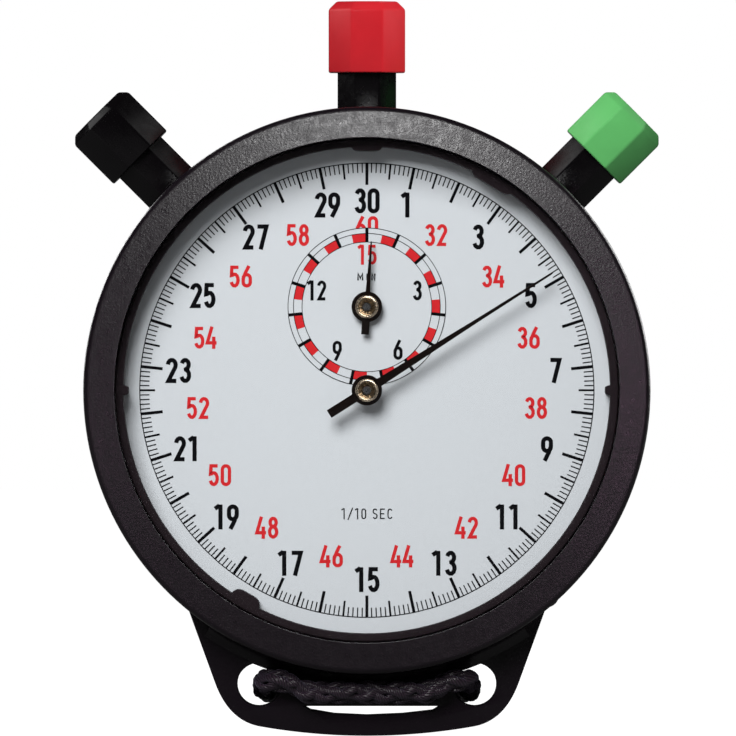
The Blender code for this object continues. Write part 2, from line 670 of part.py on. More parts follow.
def build_train():
    barrel_phase = direction(BARREL, THIRD)
    third_pinion = meshing_phase(BARREL, BARREL_TEETH, barrel_phase, THIRD, LEAVES)
    third_phase = direction(THIRD, SWEEP)
    wheel = (THIRD_TEETH, THIRD_MODULE, third_phase, -6.1, -5.8)
    pinion = (LEAVES, BARREL_MODULE, third_pinion, -8.95, -8.38)
    shaft = [(0.22, -9.9, -9.3), (0.35, -9.3, -4.8), (0.22, -4.8, -4.0)]
    third = wheel_and_pinion(THIRD, wheel, pinion, shaft)
    finish("third_wheel", crossings(third, THIRD, 4, 3.1, 1.6, -6.5, -5.5), "brass", on_axis(THIRD, -6.0))

    fourth_pinion = meshing_phase(THIRD, THIRD_TEETH, third_phase, SWEEP, LEAVES)
    fourth_phase = direction(SWEEP, ESCAPE)
    wheel = (FOURTH_TEETH, FOURTH_MODULE, fourth_phase, -8.3, -7.95)
    pinion = (LEAVES, THIRD_MODULE, fourth_pinion, -6.2, -5.7)
    shaft = [(0.35, -8.45, -4.8), (0.22, -4.8, -4.0)]
    fourth = wheel_and_pinion(SWEEP, wheel, pinion, shaft)
    finish("fourth_wheel", crossings(fourth, SWEEP, 4, 3.2, 1.65, -8.6, -7.6), "brass", on_axis(SWEEP, -8.1))

    escape_pinion = meshing_phase(SWEEP, FOURTH_TEETH, fourth_phase, ESCAPE, LEAVES)
    shaft = [(0.22, -9.9, -9.3), (0.3, -9.3, -4.8), (0.22, -4.8, -4.0)]
    escape = stepped(ESCAPE, shaft, 8)
    leaves = prism(gear_outline(LEAVES, FOURTH_MODULE, escape_pinion, ESCAPE), -8.4, -7.85)
    points = []
    for i in range(15):
        points.append(polar(24.0 * i, 1.55, ESCAPE))
        points.append(polar(24.0 * i - 3.0, 2.2, ESCAPE))
        points.append(polar(24.0 * i + 4.0, 2.13, ESCAPE))
        points.append(polar(24.0 * i + 9.0, 1.55, ESCAPE))
    escape = join(escape, leaves, prism(points, -7.4, -7.1))
    finish("escape_wheel", escape, "steel", on_axis(ESCAPE, -7.25))


def heart_outline(centre, angle):
    """A heart cam whose notch faces the given angle."""
    points = []
    for i in range(16):
        away = abs(i * 22.5 - 180.0)
        points.append(polar(angle + i * 22.5, 0.75 + 0.85 * (1.0 - away / 180.0), centre))
    return points


def build_hand_arbors():
    steps = [(0.35, -15.2, -13.2), (0.45, -13.2, -8.55)]
    sweep = stepped(SWEEP, steps, 10)
    sweep_phase = direction(SWEEP, INTERMEDIATE)
    leaves = prism(gear_outline(LEAVES, INTER_MODULE, sweep_phase, SWEEP), -11.5, -11.1)
    heart = prism(heart_outline(SWEEP, 90.0 - SECOND_ANGLE), -9.15, -8.65)
    finish("sweep_arbor", join(sweep, leaves, heart), "steel", on_axis(SWEEP, -12.0))

    inter_phase = meshing_phase(SWEEP, LEAVES, sweep_phase, INTERMEDIATE, INTER_TEETH)
    to_minute = direction(INTERMEDIATE, MINUTE)
    wheel = (INTER_TEETH, INTER_MODULE, inter_phase, -11.45, -11.15)
    pinion = (LEAVES, MINUTE_MODULE, to_minute, -12.1, -11.7)
    inter = wheel_and_pinion(INTERMEDIATE, wheel, pinion, [(0.3, -12.2, -9.9)])
    finish("intermediate_wheel", inter, "brass", on_axis(INTERMEDIATE, -11.3))

    minute_phase = meshing_phase(INTERMEDIATE, LEAVES, to_minute, MINUTE, MINUTE_TEETH)
    outline = gear_outline(MINUTE_TEETH, MINUTE_MODULE, minute_phase, MINUTE)
    wheel = cut(prism(outline, -12.05, -11.75), disc(MINUTE, 0.52, -13.0, -11.0, 12))
    finish("minute_wheel", wheel, "brass", on_axis(MINUTE, -11.9))
    arbor = stepped(MINUTE, [(0.35, -14.0, -12.6), (0.42, -12.6, -8.55)], 10)
    heart = prism(heart_outline(MINUTE, 90.0 - MINUTE_ANGLE), -9.15, -8.65)
    finish("minute_arbor", join(arbor, heart), "steel", on_axis(MINUTE, -11.0))


# ---------------------------------------------------------------- movement: escapement and levers

def build_escapement():
    line = direction(PALLET, BALANCE)
    stem = prism(bar(polar(line, 0.2, PALLET), polar(line, 2.6, PALLET), 0.45), -7.4, -7.1)
    horns = prism([polar(line - 12.0, 2.3, PALLET), polar(line - 13.0, 3.0, PALLET), polar(line - 5.0, 3.0, PALLET),
                   polar(line, 2.65, PALLET), polar(line + 5.0, 3.0, PALLET), polar(line + 13.0, 3.0, PALLET),
                   polar(line + 12.0, 2.3, PALLET)], -7.4, -7.1)
    arms = [polar(line + 62.0, 0.6, PALLET), polar(line + 98.0, 2.5, PALLET), polar(line + 110.0, 2.5, PALLET),
            polar(line + 118.0, 1.75, PALLET), polar(line + 150.0, 0.5, PALLET), polar(line - 150.0, 0.5, PALLET),
            polar(line - 118.0, 1.75, PALLET), polar(line - 110.0, 2.5, PALLET), polar(line - 98.0, 2.5, PALLET),
            polar(line - 62.0, 0.6, PALLET)]
    shaft = stepped(PALLET, [(0.2, -9.9, -9.3), (0.3, -9.3, -7.05), (0.2, -7.05, -6.65)], 8)
    fork = join(stem, horns, prism(arms, -7.4, -7.1), shaft)
    finish("pallet_fork", fork, "steel", on_axis(PALLET, -7.25))

    rim = disc(BALANCE, 4.6, -6.4, -5.8, 24, 4.0)
    spoke = prism(bar(polar(30.0, -4.2, BALANCE), polar(30.0, 4.2, BALANCE), 0.7), -6.25, -5.95)
    hub = disc(BALANCE, 0.9, -6.35, -5.85, 12)
    wheel = cut(join(rim, spoke, hub), disc(BALANCE, 0.42, -7.0, -5.0, 10))
    finish("balance_wheel", wheel, "brass", on_axis(BALANCE, -6.1))
    staff = stepped(BALANCE, [(0.2, -9.9, -9.3), (0.35, -9.3, -7.0), (1.35, -7.0, -6.75), (0.35, -6.75, -4.7),
                              (0.25, -4.7, -3.9)], 12)
    pin = disc(polar(direction(BALANCE, PALLET), 1.05, BALANCE), 0.15, -7.55, -6.9, 6)
    finish("balance_staff", join(staff, pin), "steel", on_axis(BALANCE, -6.9))
    spiral = []
    for i in range(37):
        x, z = polar(i * 30.0, 0.8 + 2.0 * i / 36.0, BALANCE)
        spiral.append((x, -5.15, z))
    finish("hairspring", ribbon(spiral, 0.08, 0.3), "steel", on_axis(BALANCE, -5.15))


def build_levers():
    outline = arc(15.0, 48.0, 21.35, 6) + arc(48.0, 15.0, 20.55, 6)
    lever = join(prism(outline, -7.65, -6.95), disc(START_LEVER, 1.2, -7.65, -6.95, 12))
    lever = cut(lever, disc(START_LEVER, 0.68, -8.0, -6.5, 10))
    finish("start_lever", lever, "steel", on_axis(START_LEVER, -7.3))

    outline = arc(225.0, 88.5, 21.3, 16) + arc(88.5, 225.0, 20.3, 16)
    finger = [(-19.4, -8.4), (-17.4, -12.2), (-13.15, -10.7), (-13.15, -9.9)]
    lever = join(prism(outline, -6.6, -6.1), prism(finger, -6.6, -6.1), disc(BRAKE_LEVER, 1.2, -6.6, -6.1, 12))
    lever = cut(lever, disc(BRAKE_LEVER, 0.68, -7.0, -5.5, 10))
    finish("brake_lever", lever, "steel", on_axis(BRAKE_LEVER, -6.35))

    prongs = [(-14.4, 2.8), (-5.0, 3.8), (0.9, 4.0), (0.9, 5.0), (-3.5, 5.3), (-3.3, 11.6), (0.9, 12.05),
              (0.9, 13.1), (-4.6, 12.9), (-5.3, 6.1), (-13.4, 5.4)]
    contact = polar(RESET_POLAR, 20.75, (0.0, SIDE_BUTTON_LIFT))
    arm = bar(RESET_HAMMER, polar(RESET_POLAR, 20.6, (0.0, SIDE_BUTTON_LIFT)), 1.4)
    hammer = join(prism(prongs, -9.15, -8.65), prism(arm, -9.15, -8.65), disc(contact, 0.6, -9.15, -6.9, 10))
    hammer = join(hammer, disc(RESET_HAMMER, 1.25, -9.15, -8.65, 12))
    hammer = cut(hammer, disc(RESET_HAMMER, 0.68, -9.5, -8.0, 10))
    finish("reset_hammer", hammer, "steel", on_axis(RESET_HAMMER, -8.9))


def build_all():
    clear_scene()
    build_front_case()
    build_rear_cover()
    build_crystal()
    build_dial_ring()
    build_dial()
    build_movement_ring()
    build_crown()
    build_push_button("start", START_POLAR, 21.1, "green")
    build_push_button("reset", RESET_POLAR, 21.5, "gloss_black")
    build_hands()
    build_cord()
    build_main_plate()
    build_bridges()
    build_screws()
    build_barrel()
    build_winding()
    build_train()
    build_hand_arbors()
    build_escapement()
    build_levers()


build_all()
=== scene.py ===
"""Looks of the three-button mechanical stopwatch.

Lengths are millimetres until a piece is placed in metres.
"""

import json
import math

import bmesh
import bpy
from mathutils import Matrix, Vector

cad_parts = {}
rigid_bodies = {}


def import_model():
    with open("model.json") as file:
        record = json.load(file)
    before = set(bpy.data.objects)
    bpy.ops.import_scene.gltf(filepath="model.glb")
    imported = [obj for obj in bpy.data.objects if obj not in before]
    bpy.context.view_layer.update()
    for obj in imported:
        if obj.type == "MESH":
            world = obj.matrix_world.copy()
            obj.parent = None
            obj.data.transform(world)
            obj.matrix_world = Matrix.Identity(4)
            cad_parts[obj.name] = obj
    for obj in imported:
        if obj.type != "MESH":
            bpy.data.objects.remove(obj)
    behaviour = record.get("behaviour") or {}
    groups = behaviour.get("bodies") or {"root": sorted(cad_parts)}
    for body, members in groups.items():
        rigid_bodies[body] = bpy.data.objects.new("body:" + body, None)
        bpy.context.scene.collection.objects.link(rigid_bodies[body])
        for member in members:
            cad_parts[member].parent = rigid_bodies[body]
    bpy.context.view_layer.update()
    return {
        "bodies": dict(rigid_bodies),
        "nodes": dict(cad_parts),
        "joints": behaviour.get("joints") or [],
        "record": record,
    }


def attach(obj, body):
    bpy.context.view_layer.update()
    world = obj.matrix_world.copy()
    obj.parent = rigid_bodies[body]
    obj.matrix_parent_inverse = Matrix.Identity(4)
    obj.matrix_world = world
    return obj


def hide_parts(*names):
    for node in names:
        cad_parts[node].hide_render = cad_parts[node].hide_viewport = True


MM = 0.001
TAU = 2.0 * math.pi

# Places shared with the CAD part
CASE_R, BEZEL_R, BORE_R = 27.5, 24.5, 25.2
FRONT_Y, SHELF_Y, CASE_BACK_Y = -18.0, -12.85, -1.25
DIAL_R, DIAL_Y, ARBOR_HOLE_R = 24.9, -12.8, 0.9
RING_R, RING_FRONT_Y = 23.6, -16.1
SWEEP, MINUTE = (0.0, 0.0), (0.0, 8.1)
SECOND_ANGLE, MINUTE_ANGLE = 57.7, 3.9  # clockwise from the top
SECOND_HAND_Y, MINUTE_HAND_Y = -14.9, -13.75
CROWN, START, RESET = 90.0, 45.0, 135.0  # the buttons' directions, anticlockwise from +X
BUTTON_Y, SIDE_BUTTON_LIFT = -7.3, 0.6
FOOT_BACK_Y, FOOT_FRONT_Y, FOOT_LOW_Z = -4.5, -13.0, -33.57
CORD_HOLE, CORD_HOLE_R = (10.5, -28.6), 2.1
CORD_BACK_Y, CORD_LOW_Z = -2.6, -29.35

# Printing on the dial
INK_THICK = 0.012
PRINT_Y, MINUTE_PRINT_Y = DIAL_Y - 0.015, DIAL_Y - 0.045
SCALE_R, MINUTE_RING_R, MINUTE_RING_INNER_R = 22.06, 7.66, 6.3
GLYPH_MIDDLE = 0.23

BRAID_STEP = 0.14

# Lamps: the groups of pieces that have their own, and a tint
BUTTON_PIECES = ("crown_cap_red", "start_cap_green", "reset_cap_black",
                 "crown_stem_octagon", "start_stem_octagon", "reset_stem_octagon")
SHELL_PIECES = ("case_body", "case_foot", "rear_cover_pressed", "cord_ferrule_crimped")
HUB_PIECES = ("sweep_second_hand_bush_turned", "minute_counter_hand_bush_turned",
              "sweep_pin_end", "minute_pin_end")
PINK = (1.0, 0.62, 0.88)


# ---------------------------------------------------------------- materials

def new_material(name):
    made = bpy.data.materials.new(name)
    made.use_nodes = True
    return made, made.node_tree, made.node_tree.nodes["Principled BSDF"]


def link(tree, source, target):
    tree.links.new(source, target)


def place_coords(tree, stretch=(1.0, 1.0, 1.0)):
    coords = tree.nodes.new("ShaderNodeTexCoord")
    mapping = tree.nodes.new("ShaderNodeMapping")
    mapping.inputs["Scale"].default_value = stretch
    link(tree, coords.outputs["Object"], mapping.inputs["Vector"])
    return mapping.outputs["Vector"]


def noise(tree, per_mm, detail=3.0, rough=0.5, stretch=(1.0, 1.0, 1.0)):
    made = tree.nodes.new("ShaderNodeTexNoise")
    made.inputs["Scale"].default_value = per_mm / MM
    made.inputs["Detail"].default_value = detail
    made.inputs["Roughness"].default_value = rough
    link(tree, place_coords(tree, stretch), made.inputs["Vector"])
    return made.outputs["Fac"]


def spread(tree, value, low, high):
    """Maps the middle part of a noise's range to low and high."""
    made = tree.nodes.new("ShaderNodeMapRange")
    made.inputs["From Min"].default_value = 0.3
    made.inputs["From Max"].default_value = 0.7
    made.inputs["To Min"].default_value = low
    made.inputs["To Max"].default_value = high
    link(tree, value, made.inputs["Value"])
    return made.outputs["Result"]


def two_tone(tree, value, first, second, low=0.35, high=0.65):
    """One colour up to low, the other from high, and a blend between them."""
    ramp = tree.nodes.new("ShaderNodeValToRGB")
    ramp.color_ramp.elements[0].position = low
    ramp.color_ramp.elements[0].color = (*first, 1.0)
    ramp.color_ramp.elements[1].position = high
    ramp.color_ramp.elements[1].color = (*second, 1.0)
    link(tree, value, ramp.inputs["Fac"])
    return ramp.outputs["Color"]


def add_bump(tree, shader, heights):
    """Heights are (value, depth in mm), from the coarsest to the finest."""
    normal = None
    for value, depth in heights:
        bump = tree.nodes.new("ShaderNodeBump")
        bump.inputs["Strength"].default_value = 1.0
        bump.inputs["Distance"].default_value = depth * MM
        link(tree, value, bump.inputs["Height"])
        if normal is not None:
            link(tree, normal, bump.inputs["Normal"])
        normal = bump.outputs["Normal"]
    link(tree, normal, shader.inputs["Normal"])


def shade(colour, amount):
    return tuple(min(1.0, c * amount) for c in colour)


def set_colour(tree, shader, pattern, colour, dark, light):
    """Varies the base colour between a darker and a lighter shade, by a pattern."""
    mixed = two_tone(tree, pattern, shade(colour, dark), shade(colour, light))
    link(tree, mixed, shader.inputs["Base Color"])


def set_roughness(tree, shader, pattern, low, high):
    link(tree, spread(tree, pattern, low, high), shader.inputs["Roughness"])


def plastic(name, colour, rough, grain, depth, tone=0.12, shine=0.25, wave=0.003):
    """Moulded plastic: a fine spark-eroded grain, slow waviness and a little uneven gloss."""
    made, tree, shader = new_material(name)
    set_colour(tree, shader, noise(tree, 0.35, 3.0), colour, 1.0 - tone, 1.0 + tone)
    fine = noise(tree, grain, 2.0, 0.6)
    set_roughness(tree, shader, noise(tree, 1.3, 4.0), rough - 0.05, rough + 0.07)
    add_bump(tree, shader, [(noise(tree, 0.5, 2.0), wave), (fine, depth)])
    shader.inputs["Specular IOR Level"].default_value = shine
    return made


def metal(name, colour, rough, grain, depth, stretch=(1.0, 1.0, 1.0)):
    """Worked metal: a brushed or turned grain, slight tarnish and uneven polish."""
    made, tree, shader = new_material(name)
    set_colour(tree, shader, noise(tree, 0.5, 5.0, 0.6), colour, 0.78, 1.08)
    shader.inputs["Metallic"].default_value = 1.0
    lines = noise(tree, grain, 3.0, 0.6, stretch)
    set_roughness(tree, shader, lines, rough - 0.07, rough + 0.1)
    add_bump(tree, shader, [(lines, depth)])
    return made


def paint(name, colour, rough, speckle=0.03, shine=0.15):
    """Thin printed or sprayed paint with a fine orange-peel surface."""
    made, tree, shader = new_material(name)
    set_colour(tree, shader, noise(tree, 2.2, 4.0), colour, 1.0 - speckle, 1.0 + speckle)
    set_roughness(tree, shader, noise(tree, 3.0, 2.0), rough - 0.05, rough + 0.06)
    add_bump(tree, shader, [(noise(tree, 2.0, 2.0), 0.002)])
    shader.inputs["Specular IOR Level"].default_value = shine
    return made


def clear_crystal():
    """Clear acrylic: mostly passes light, with a Fresnel sheen and a trace of haze."""
    made = bpy.data.materials.new("crystal_clear")
    made.use_nodes = True
    tree = made.node_tree
    tree.nodes.clear()
    out = tree.nodes.new("ShaderNodeOutputMaterial")
    mix = tree.nodes.new("ShaderNodeMixShader")
    clear = tree.nodes.new("ShaderNodeBsdfTransparent")
    clear.inputs["Color"].default_value = (0.985, 0.99, 0.995, 1.0)
    sheen = tree.nodes.new("ShaderNodeBsdfGlossy")
    set_roughness(tree, sheen, noise(tree, 0.4, 4.0), 0.02, 0.07)
    fresnel = tree.nodes.new("ShaderNodeFresnel")
    fresnel.inputs["IOR"].default_value = 1.3
    soft = tree.nodes.new("ShaderNodeMath")
    soft.operation = "MULTIPLY"
    soft.inputs[1].default_value = 0.3
    link(tree, fresnel.outputs["Fac"], soft.inputs[0])
    link(tree, soft.outputs["Value"], mix.inputs["Fac"])
    link(tree, clear.outputs["BSDF"], mix.inputs[1])
    link(tree, sheen.outputs["BSDF"], mix.inputs[2])
    link(tree, mix.outputs["Shader"], out.inputs["Surface"])
    return made


def yarn(name, dark, light):
    """Twisted yarn: fine threads that run along each strand, by the strand's own UV map."""
    made, tree, shader = new_material(name)
    coords = tree.nodes.new("ShaderNodeTexCoord")
    mapping = tree.nodes.new("ShaderNodeMapping")
    mapping.inputs["Rotation"].default_value = (0.0, 0.0, math.radians(28.0))
    link(tree, coords.outputs["UV"], mapping.inputs["Vector"])
    threads = tree.nodes.new("ShaderNodeTexWave")
    threads.bands_direction = "Y"
    threads.inputs["Scale"].default_value = 2.6
    threads.inputs["Distortion"].default_value = 1.6
    threads.inputs["Detail"].default_value = 3.0
    link(tree, mapping.outputs["Vector"], threads.inputs["Vector"])
    link(tree, two_tone(tree, threads.outputs["Fac"], dark, light, 0.2, 0.85), shader.inputs["Base Color"])
    shader.inputs["Roughness"].default_value = 0.4
    shader.inputs["Sheen Weight"].default_value = 0.12
    shader.inputs["Sheen Tint"].default_value = (0.75, 0.7, 0.95, 1.0)
    add_bump(tree, shader, [(threads.outputs["Fac"], 0.03), (noise(tree, 9.0, 3.0), 0.006)])
    return made


def by_ray(tree, seen, lighting, reflected):
    """One value for what the camera sees, one for light on matt surfaces and one for reflections."""
    rays = tree.nodes.new("ShaderNodeLightPath")
    value = lighting
    for output, for_this_ray in (("Is Glossy Ray", reflected), ("Is Camera Ray", seen)):
        chosen = tree.nodes.new("ShaderNodeMix")
        chosen.inputs["B"].default_value = for_this_ray
        link(tree, rays.outputs[output], chosen.inputs["Factor"])
        if isinstance(value, float):
            chosen.inputs["A"].default_value = value
        else:
            link(tree, value, chosen.inputs["A"])
        value = chosen.outputs["Result"]
    return value


def studio_floor():
    made, tree, shader = new_material("studio_floor")
    set_colour(tree, shader, noise(tree, 0.02, 3.0), (0.125, 0.125, 0.125), 0.96, 1.04)
    shader.inputs["Roughness"].default_value = 0.95
    shader.inputs["Specular IOR Level"].default_value = 0.0
    shader.inputs["Emission Color"].default_value = (1.0, 1.0, 1.0, 1.0)
    link(tree, by_ray(tree, 1.0, 0.05, 0.0), shader.inputs["Emission Strength"])
    return made


def make_materials():
    return {
        "case_black": plastic("case_black", (0.0050, 0.0032, 0.0050), 0.32, 4.2, 0.022, 0.05, 0.4, 0.001),
        "gloss_black": plastic("gloss_black", (0.0022, 0.0018, 0.0022), 0.24, 1.2, 0.002, 0.1, 0.25, 0.001),
        "ring_black": plastic("ring_black", (0.017, 0.012, 0.014), 0.45, 3.0, 0.01, 0.1, 0.15),
        "red": plastic("red", (0.42, 0.012, 0.018), 0.33, 0.9, 0.004, 0.04, 0.3),
        "green": plastic("green", (0.095, 0.38, 0.11), 0.33, 0.9, 0.004, 0.04, 0.3),
        "rubber": plastic("rubber", (0.012, 0.012, 0.012), 0.75, 4.0, 0.03),
        "glass": clear_crystal(),
        "dial_paint": paint("dial_paint", (0.60, 0.62, 0.635), 0.55, 0.012),
        "black_ink": paint("black_ink", (0.004, 0.004, 0.005), 0.6, 0.1),
        "red_ink": paint("red_ink", (0.60, 0.022, 0.026), 0.6, 0.04),
        "hand_lacquer": paint("hand_lacquer", (0.006, 0.0035, 0.003), 0.35, 0.1, 0.3),
        "brass": metal("brass", (0.68, 0.55, 0.40), 0.25, 6.0, 0.001),
        "gilt": metal("gilt", (0.72, 0.56, 0.32), 0.38, 3.0, 0.006, (1.0, 1.0, 8.0)),
        "steel": metal("steel", (0.62, 0.62, 0.63), 0.25, 4.0, 0.004, (8.0, 1.0, 1.0)),
        "cord": yarn("cord", (0.0022, 0.0010, 0.0020), (0.024, 0.013, 0.022)),
    }


# ---------------------------------------------------------------- mesh helpers

def shape(bm, recalculate=True):
    if recalculate:
        bmesh.ops.recalc_face_normals(bm, faces=bm.faces)
    mesh = bpy.data.meshes.new("shape")
    bm.to_mesh(mesh)
    bm.free()
    obj = bpy.data.objects.new("shape", mesh)
    bpy.context.scene.collection.objects.link(obj)
    return obj


def evaluated(obj):
    """Applies the object's modifiers to its mesh."""
    bpy.context.view_layer.update()
    graph = bpy.context.evaluated_depsgraph_get()
    mesh = bpy.data.meshes.new_from_object(obj.evaluated_get(graph))
    obj.modifiers.clear()
    obj.data = mesh
    return obj


def cut(obj, cutter):
    """Takes the cutter's shape out of the object, and removes the cutter."""
    modifier = obj.modifiers.new("Boolean", "BOOLEAN")
    modifier.operation = "DIFFERENCE"
    modifier.solver = "EXACT"
    modifier.object = cutter
    evaluated(obj)
    bpy.data.objects.remove(cutter)
    return obj


def bevel(obj, width, segments, angle):
    """Rounds the edges that turn by more than an angle in degrees."""
    modifier = obj.modifiers.new("Bevel", "BEVEL")
    modifier.width = width
    modifier.segments = segments
    modifier.limit_method = "ANGLE"
    modifier.angle_limit = math.radians(angle)
    return evaluated(obj)


def merged(objects):
    """Puts several shapes into one mesh."""
    bm = bmesh.new()
    for obj in objects:
        bm.from_mesh(obj.data)
        bpy.data.objects.remove(obj)
    return shape(bm, recalculate=False)


def piece(name, obj, body, material, replaces=(), smooth=35.0):
    """Scales a finished shape to metres, gives it its material and hangs it on its CAD body."""
    obj.data.transform(Matrix.Scale(MM, 4))
    obj.name = name
    obj.data.name = name
    obj.data.materials.clear()
    obj.data.materials.append(material)
    obj.data.shade_smooth()
    obj.data.set_sharp_from_angle(angle=math.radians(smooth))
    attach(obj, body)
    if replaces:
        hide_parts(*replaces)
    return obj


def polar(angle, radius, centre=(0.0, 0.0)):
    turn = math.radians(angle)
    return (centre[0] + radius * math.cos(turn), centre[1] + radius * math.sin(turn))


def clockwise(angle, radius, centre=(0.0, 0.0)):
    return polar(90.0 - angle, radius, centre)


def arc(start, end, radius, count, centre=(0.0, 0.0)):
    """Points on part of a circle, angles in degrees anticlockwise from +X."""
    return [polar(start + (end - start) * i / (count - 1), radius, centre) for i in range(count)]


def skin(bm, loops, closed=False):
    """Joins each loop of points to the next with faces, and closes or caps the row at its ends."""
    following = loops[1:]
    if closed:
        following = following + loops[:1]
    else:
        bm.faces.new(loops[0])
        bm.faces.new(loops[-1])
    for one, two in zip(loops, following):
        for k in range(len(one)):
            j = (k + 1) % len(one)
            bm.faces.new((one[k], one[j], two[j], two[k]))


def prism(points, y0, y1):
    """An (x, z) outline pushed from y0 to y1."""
    bm = bmesh.new()
    skin(bm, [[bm.verts.new((x, y, z)) for x, z in points] for y in (y0, y1)])
    return shape(bm)


def turned(profile, centre, axis, segments, start=0.0):
    """Turns a closed (radius, distance along the axis) profile about an axis through centre."""
    along = Vector(axis).normalized()
    side = along.cross(Vector((0.0, 1.0, 0.0)))
    side = side.normalized() if side.length > 0.1 else Vector((1.0, 0.0, 0.0))
    across = along.cross(side)
    base = Vector(centre)
    bm = bmesh.new()
    rings = []
    for radius, distance in profile:
        if radius == 0.0:
            rings.append([bm.verts.new(base + along * distance)] * segments)
            continue
        ring = []
        for i in range(segments):
            angle = start + TAU * i / segments
            spoke = side * math.cos(angle) + across * math.sin(angle)
            ring.append(bm.verts.new(base + along * distance + spoke * radius))
        rings.append(ring)
    for k, ring in enumerate(rings):
        following = rings[(k + 1) % len(rings)]
        for i in range(segments):
            j = (i + 1) % segments
            corners = [ring[i], ring[j], following[j], following[i]]
            unique = [v for n, v in enumerate(corners) if v not in corners[:n]]
            if len(unique) > 2:
                bm.faces.new(unique)
    return shape(bm)


def loop_about_y(bm, profile, angle):
    """New points for a (radius, y) profile that stands at an angle clockwise from the top."""
    loop = []
    for radius, y in profile:
        x, z = clockwise(angle, radius)
        loop.append(bm.verts.new((x, y, z)))
    return loop


def swept_profile(profile, start, end, count):
    """Sweeps a closed (radius, y) profile round part of a circle about the Y axis."""
    bm = bmesh.new()
    angles = [start + (end - start) * i / (count - 1) for i in range(count)]
    skin(bm, [loop_about_y(bm, profile, angle) for angle in angles])
    return shape(bm)


def about_y(profile, centre=(0.0, 0.0), segments=96):
    return turned(profile, (centre[0], 0.0, centre[1]), (0.0, 1.0, 0.0), segments)


def disc(centre, radius, y0, y1, segments=48):
    """A solid cylinder along Y."""
    return about_y([(0.0, y0), (radius, y0), (radius, y1), (0.0, y1)], centre, segments)


def button_part(profile, angle, segments, start=0.0):
    """Turns a profile about the line that a button moves along."""
    x, z = polar(angle, 1.0)
    lift = 0.0 if angle == CROWN else SIDE_BUTTON_LIFT
    return turned(profile, (0.0, BUTTON_Y, lift), (x, 0.0, z), segments, start)


def octagon_radius(across_flats):
    """The radius of the corners of an octagon."""
    return across_flats / 2.0 / math.cos(math.pi / 8.0)


# ---------------------------------------------------------------- printing on the dial

def flat_stroke(bm, points, width, y, closed=False):
    """Adds a flat printed line of constant width along (x, z) points, mitred at its corners."""
    count = len(points)
    loops = []
    for i, (x, z) in enumerate(points):
        before = points[(i - 1) % count] if closed or i else points[i]
        after = points[(i + 1) % count] if closed or i < count - 1 else points[i]
        first = Vector((x - before[0], z - before[1]))
        second = Vector((after[0] - x, after[1] - z))
        first = first.normalized() if first.length > 1e-9 else second.normalized()
        second = second.normalized() if second.length > 1e-9 else first
        along = (first + second).normalized()
        reach = width / 2.0 / max(0.5, along.dot(second))
        nx, nz, back = -along.y * reach, along.x * reach, y + INK_THICK
        around = ((x + nx, y, z + nz), (x - nx, y, z - nz), (x - nx, back, z - nz), (x + nx, back, z + nz))
        loops.append([bm.verts.new(point) for point in around])
    skin(bm, loops, closed)


def bend(cx, cz, rx, rz, start, end, count=9):
    """Points on part of an ellipse, angles in degrees anticlockwise from +X."""
    found = []
    for i in range(count):
        turn = math.radians(start + (end - start) * i / (count - 1))
        found.append((cx + rx * math.cos(turn), cz + rz * math.sin(turn)))
    return found


def glyph(sign):
    """The centre lines of a narrow upright character, 0.46 wide and 1 high, and whether each is closed."""
    left, right, low, high, mid = 0.085, 0.375, 0.08, 0.92, GLYPH_MIDDLE
    half = (right - left) / 2.0
    if sign == "0":
        top = bend(mid, high - 0.16, half, 0.16, 0, 180)
        bottom = bend(mid, low + 0.16, half, 0.16, 180, 360)
        return [(top + bottom, True)]
    if sign == "1":
        return glyph("I") + [([(0.235, 0.965), (0.06, 0.83)], False)]
    if sign == "I":
        return [([(0.27, 0.0), (0.27, 1.0)], False)]
    if sign == "2":
        return [(bend(mid, high - 0.2, half, 0.2, 175, -25) + [(left + 0.02, low), (0.40, low)], False)]
    if sign == "3":
        top = bend(mid, 0.735, half - 0.015, 0.185, 165, -80)
        bottom = bend(mid, 0.305, half, 0.225, 80, -165)
        return [(top + bottom, False)]
    if sign == "4":
        return [([(0.25, 1.0), (0.06, 0.27), (0.44, 0.27)], False), ([(0.325, 0.0), (0.325, 0.55)], False)]
    if sign == "5":
        flag = [(0.39, high), (0.12, high), (0.10, 0.55)]
        return [(flag + bend(mid, 0.345, half, 0.265, 125, -160, 12), False)]
    if sign == "6":
        bowl = bend(mid, 0.42, half, 0.17, 0, 180) + bend(mid, low + 0.16, half, 0.16, 180, 360)
        return [(bowl, True), ([(0.32, 0.985), (0.17, 0.66), (left, 0.40)], False)]
    if sign == "9":
        turned_round = []
        for line, closed in glyph("6"):
            turned_round.append(([(2.0 * mid - x, 1.0 - z) for x, z in line], closed))
        return turned_round
    if sign == "7":
        return [([(0.05, high), (0.385, high), (0.17, 0.0)], False)]
    if sign == "8":
        top = bend(mid, 0.735, half - 0.02, 0.185, 0, 352, 16)
        bottom = bend(mid, 0.31, half, 0.23, 0, 352, 16)
        return [(top, True), (bottom, True)]
    if sign == "/":
        return [([(0.04, -0.05), (0.42, 1.05)], False)]
    if sign == "S":
        top = bend(mid, 0.72, half, 0.2, 25, 255, 10)
        bottom = bend(mid, 0.29, half, 0.21, 75, -155, 10)
        return [(top + bottom, False)]
    if sign == "E":
        frame = [(0.40, high), (left, high), (left, low), (0.40, low)]
        return [(frame, False), ([(left, 0.5), (0.36, 0.5)], False)]
    if sign == "C":
        return [(bend(mid, 0.70, half, 0.22, 20, 180) + bend(mid, 0.30, half, 0.22, 180, 340), False)]
    if sign == "M":
        return [([(-0.06, 0.0), (-0.06, 1.0), (0.23, 0.3), (0.52, 1.0), (0.52, 0.0)], False)]
    if sign == "N":
        return [([(0.05, 0.0), (0.05, 1.0), (0.40, 0.0), (0.40, 1.0)], False)]
    return []


